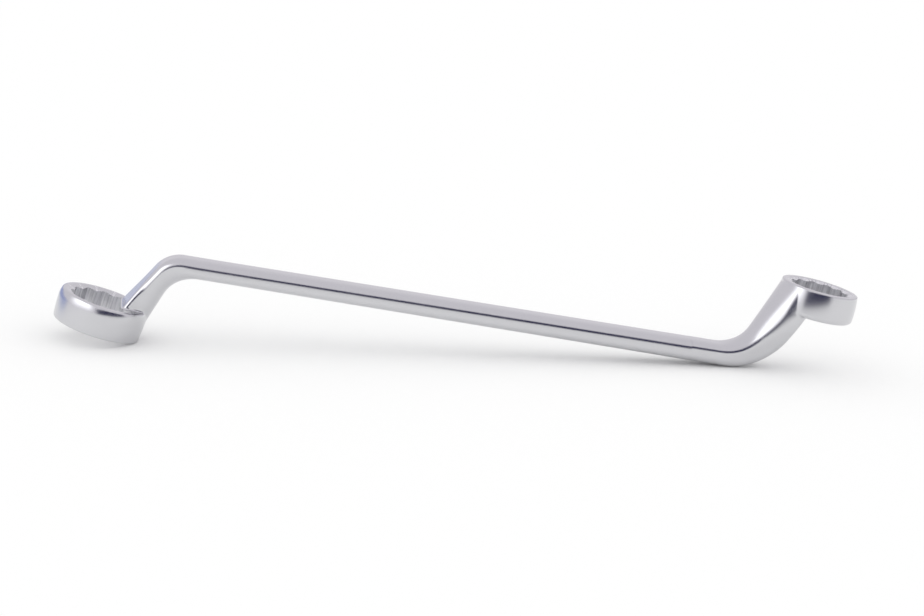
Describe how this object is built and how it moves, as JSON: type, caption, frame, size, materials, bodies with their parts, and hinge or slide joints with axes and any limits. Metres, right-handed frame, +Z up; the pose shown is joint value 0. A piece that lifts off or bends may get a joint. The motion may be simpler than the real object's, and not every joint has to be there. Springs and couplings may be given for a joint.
{
  "type": "ring spanner",
  "caption": "Deep offset double-ended ring spanner: a Z-bent bar with a large ring at one end, a smaller ring at the other and a twelve-point bore through each.",
  "frame": {"origin": "centre of the footprint, on the surface that the spanner lies on", "axes": "+X from the large ring along the tool to the small ring, +Y across the tool, square to its plane of symmetry, +Z up as it lies on the large ring and on the bend below the small ring"},
  "size_m": [0.359, 0.0398, 0.0412],
  "materials": {
    "satin_chrome": "satin chrome plate over a polished steel forging, ground flat on the free ring faces"
  },
  "bodies": {
    "root": {"large_ring_head": "satin_chrome", "shank": "satin_chrome", "small_ring_head": "satin_chrome"}
  },
  "joints": []
}
